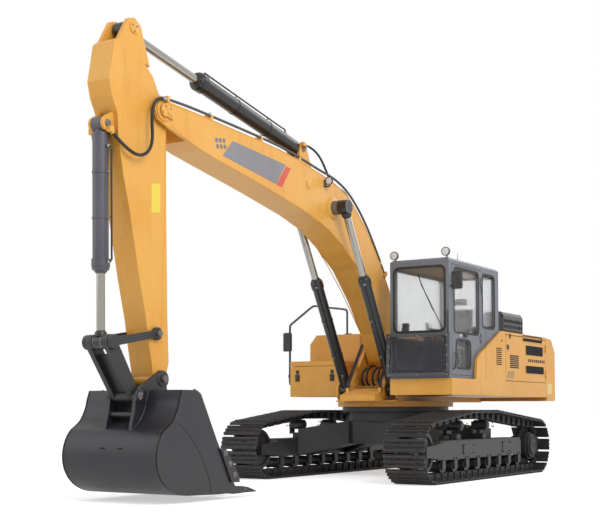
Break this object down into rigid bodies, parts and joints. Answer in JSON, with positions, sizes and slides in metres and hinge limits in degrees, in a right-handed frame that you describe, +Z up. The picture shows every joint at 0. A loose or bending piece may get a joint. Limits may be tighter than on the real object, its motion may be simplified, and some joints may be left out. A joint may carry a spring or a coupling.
{
  "type": "crawler excavator",
  "caption": "Full-size crawler excavator with slewing upper structure, hollow cab, hydraulic boom, arm and bucket, ready to pose at every joint.",
  "frame": {"origin": "on the ground under the middle of the machine as it is parked", "axes": "+Z up, the front and the bucket face -Y, the machine's left side with the cab is +X"},
  "size_m": [3.19, 9.8633, 5.1776],
  "materials": {
    "bucket_steel": "worn",
    "cab_grey": "semi-gloss",
    "clear_glass": "clear",
    "counterweight_iron": "painted",
    "cylinder_black": "gloss",
    "dark_grey": "satin",
    "engine_grey": "cast",
    "frame_black": "satin",
    "pin_steel": "plain",
    "rod_chrome": "polished",
    "seat_cloth": "woven",
    "track_steel": "worn",
    "yellow_paint": "semi-gloss"
  },
  "bodies": {
    "undercarriage": {"car_body": "frame_black", "slew_ring": "frame_black", "track_frame_left": "frame_black", "track_frame_right": "frame_black", "track_left": "track_steel", "track_right": "track_steel", "front_idlers": "frame_black", "sprockets": "track_steel", "final_drives": "frame_black", "track_rollers": "frame_black", "carrier_rollers": "frame_black"},
    "upper": {"upper_frame": "yellow_paint", "frame_pins": "pin_steel", "counterweight": "counterweight_iron", "left_side_box": "yellow_paint", "engine": "engine_grey", "engine_bay": "dark_grey", "fuel_tank": "yellow_paint", "tool_box": "yellow_paint", "cab_floor": "cab_grey", "cab_frame": "cab_grey", "cab_roof": "cab_grey", "windscreen": "clear_glass", "cab_windows": "clear_glass", "operator_seat": "seat_cloth", "front_guard": "dark_grey"},
    "cab_door": {"cab_door": "cab_grey", "door_glass": "clear_glass"},
    "engine_hood": {"engine_hood": "yellow_paint"},
    "left_side_door": {"left_side_door": "yellow_paint"},
    "right_side_door": {"right_side_door": "yellow_paint"},
    "tool_box_lid": {"tool_box_lid": "yellow_paint"},
    "boom": {"boom": "yellow_paint", "boom_pins": "pin_steel"},
    "boom_cylinder_tubes": {"boom_cylinder_tubes": "cylinder_black"},
    "boom_cylinder_rods": {"boom_cylinder_rods": "rod_chrome"},
    "arm": {"arm": "yellow_paint", "arm_pins": "pin_steel"},
    "arm_cylinder_tube": {"arm_cylinder_tube": "cylinder_black"},
    "arm_cylinder_rod": {"arm_cylinder_rod": "rod_chrome"},
    "bucket_cylinder_tube": {"bucket_cylinder_tube": "cylinder_black"},
    "bucket_cylinder_rod": {"bucket_cylinder_rod": "rod_chrome"},
    "guide_links": {"guide_links": "dark_grey"},
    "h_link": {"h_link": "dark_grey", "link_pins": "pin_steel"},
    "bucket": {"bucket": "bucket_steel", "bucket_pins": "pin_steel", "bucket_teeth": "bucket_steel"}
  },
  "joints": [
    {"name": "slew", "type": "hinge", "parent": "undercarriage", "child": "upper", "pos_m": [0, 1.88, 1.03], "axis": [0, 0, 1], "continuous": true},
    {"name": "boom_lift", "type": "hinge", "parent": "upper", "child": "boom", "pos_m": [0, 1.55, 1.75], "axis": [-1, 0, 0], "range_deg": [-72, 38]},
    {"name": "arm_crowd", "type": "hinge", "parent": "boom", "child": "arm", "pos_m": [0, -4.032, 4.249], "axis": [1, 0, 0], "range_deg": [-75, 33]},
    {"name": "bucket_curl", "type": "hinge", "parent": "arm", "child": "bucket", "pos_m": [0, -3.993, 1.31], "axis": [1, 0, 0], "range_deg": [-60, 100]},
    {"name": "lift_tube_pivot", "type": "hinge", "parent": "upper", "child": "boom_cylinder_tubes", "pos_m": [0, 1.08, 1.27], "axis": [-1, 0, 0], "range_deg": [-73.83, 39.49]},
    {"name": "lift_rod_slide", "type": "slide", "parent": "boom_cylinder_tubes", "child": "boom_cylinder_rods", "axis": [0, -0.5015, 0.8652], "range_m": [-0.689, 0.3685]},
    {"name": "crowd_tube_pivot", "type": "hinge", "parent": "boom", "child": "arm_cylinder_tube", "pos_m": [0, -0.94, 4.43], "axis": [1, 0, 0], "range_deg": [-6.85, 3.07]},
    {"name": "crowd_rod_slide", "type": "slide", "parent": "arm_cylinder_tube", "child": "arm_cylinder_rod", "axis": [0, -0.9845, 0.1752], "range_m": [-1.0822, 0.4848]},
    {"name": "curl_tube_pivot", "type": "hinge", "parent": "arm", "child": "bucket_cylinder_tube", "pos_m": [0, -4.82, 3.96], "axis": [1, 0, 0], "range_deg": [-3.39, 5.59]},
    {"name": "curl_rod_slide", "type": "slide", "parent": "bucket_cylinder_tube", "child": "bucket_cylinder_rod", "axis": [0, 0.0175, -0.9998], "range_m": [-0.4021, 0.6632]},
    {"name": "guide_link_pivot", "type": "hinge", "parent": "arm", "child": "guide_links", "pos_m": [0, -4.075, 1.8], "axis": [1, 0, 0], "range_deg": [-36.28, 59.84]},
    {"name": "h_link_pivot", "type": "hinge", "parent": "bucket", "child": "h_link", "pos_m": [0, -4.385, 1.125], "axis": [1, 0, 0], "range_deg": [-72.64, 44.04]},
    {"name": "cab_door_hinge", "type": "hinge", "parent": "upper", "child": "cab_door", "pos_m": [1.41, 1.885, 2.2], "axis": [0, 0, 1], "range_deg": [0, 150]},
    {"name": "engine_hood_hinge", "type": "hinge", "parent": "upper", "child": "engine_hood", "pos_m": [0, 4.482, 2.16], "axis": [-1, 0, 0], "range_deg": [0, 55]},
    {"name": "left_door_hinge", "type": "hinge", "parent": "upper", "child": "left_side_door", "pos_m": [1.455, 4.451, 1.8], "axis": [0, 0, 1], "range_deg": [0, 100]},
    {"name": "right_door_hinge", "type": "hinge", "parent": "upper", "child": "right_side_door", "pos_m": [-1.455, 4.451, 1.8], "axis": [0, 0, -1], "range_deg": [0, 100]},
    {"name": "tool_lid_hinge", "type": "hinge", "parent": "upper", "child": "tool_box_lid", "pos_m": [-1.005, 1.717, 1.712], "axis": [-1, 0, 0], "range_deg": [0, 85]}
  ],
  "couplings": [
    {"joint": "lift_tube_pivot", "follows": "boom_lift", "ratio": 1.01},
    {"joint": "lift_rod_slide", "follows": "boom_lift", "m_per_rad": 0.54},
    {"joint": "crowd_tube_pivot", "follows": "arm_crowd", "ratio": 0.09},
    {"joint": "crowd_rod_slide", "follows": "arm_crowd", "m_per_rad": 0.815},
    {"joint": "curl_tube_pivot", "follows": "bucket_curl", "ratio": 0.055},
    {"joint": "curl_rod_slide", "follows": "bucket_curl", "m_per_rad": 0.374},
    {"joint": "guide_link_pivot", "follows": "bucket_curl", "ratio": 0.589},
    {"joint": "h_link_pivot", "follows": "bucket_curl", "ratio": -0.715}
  ]
}
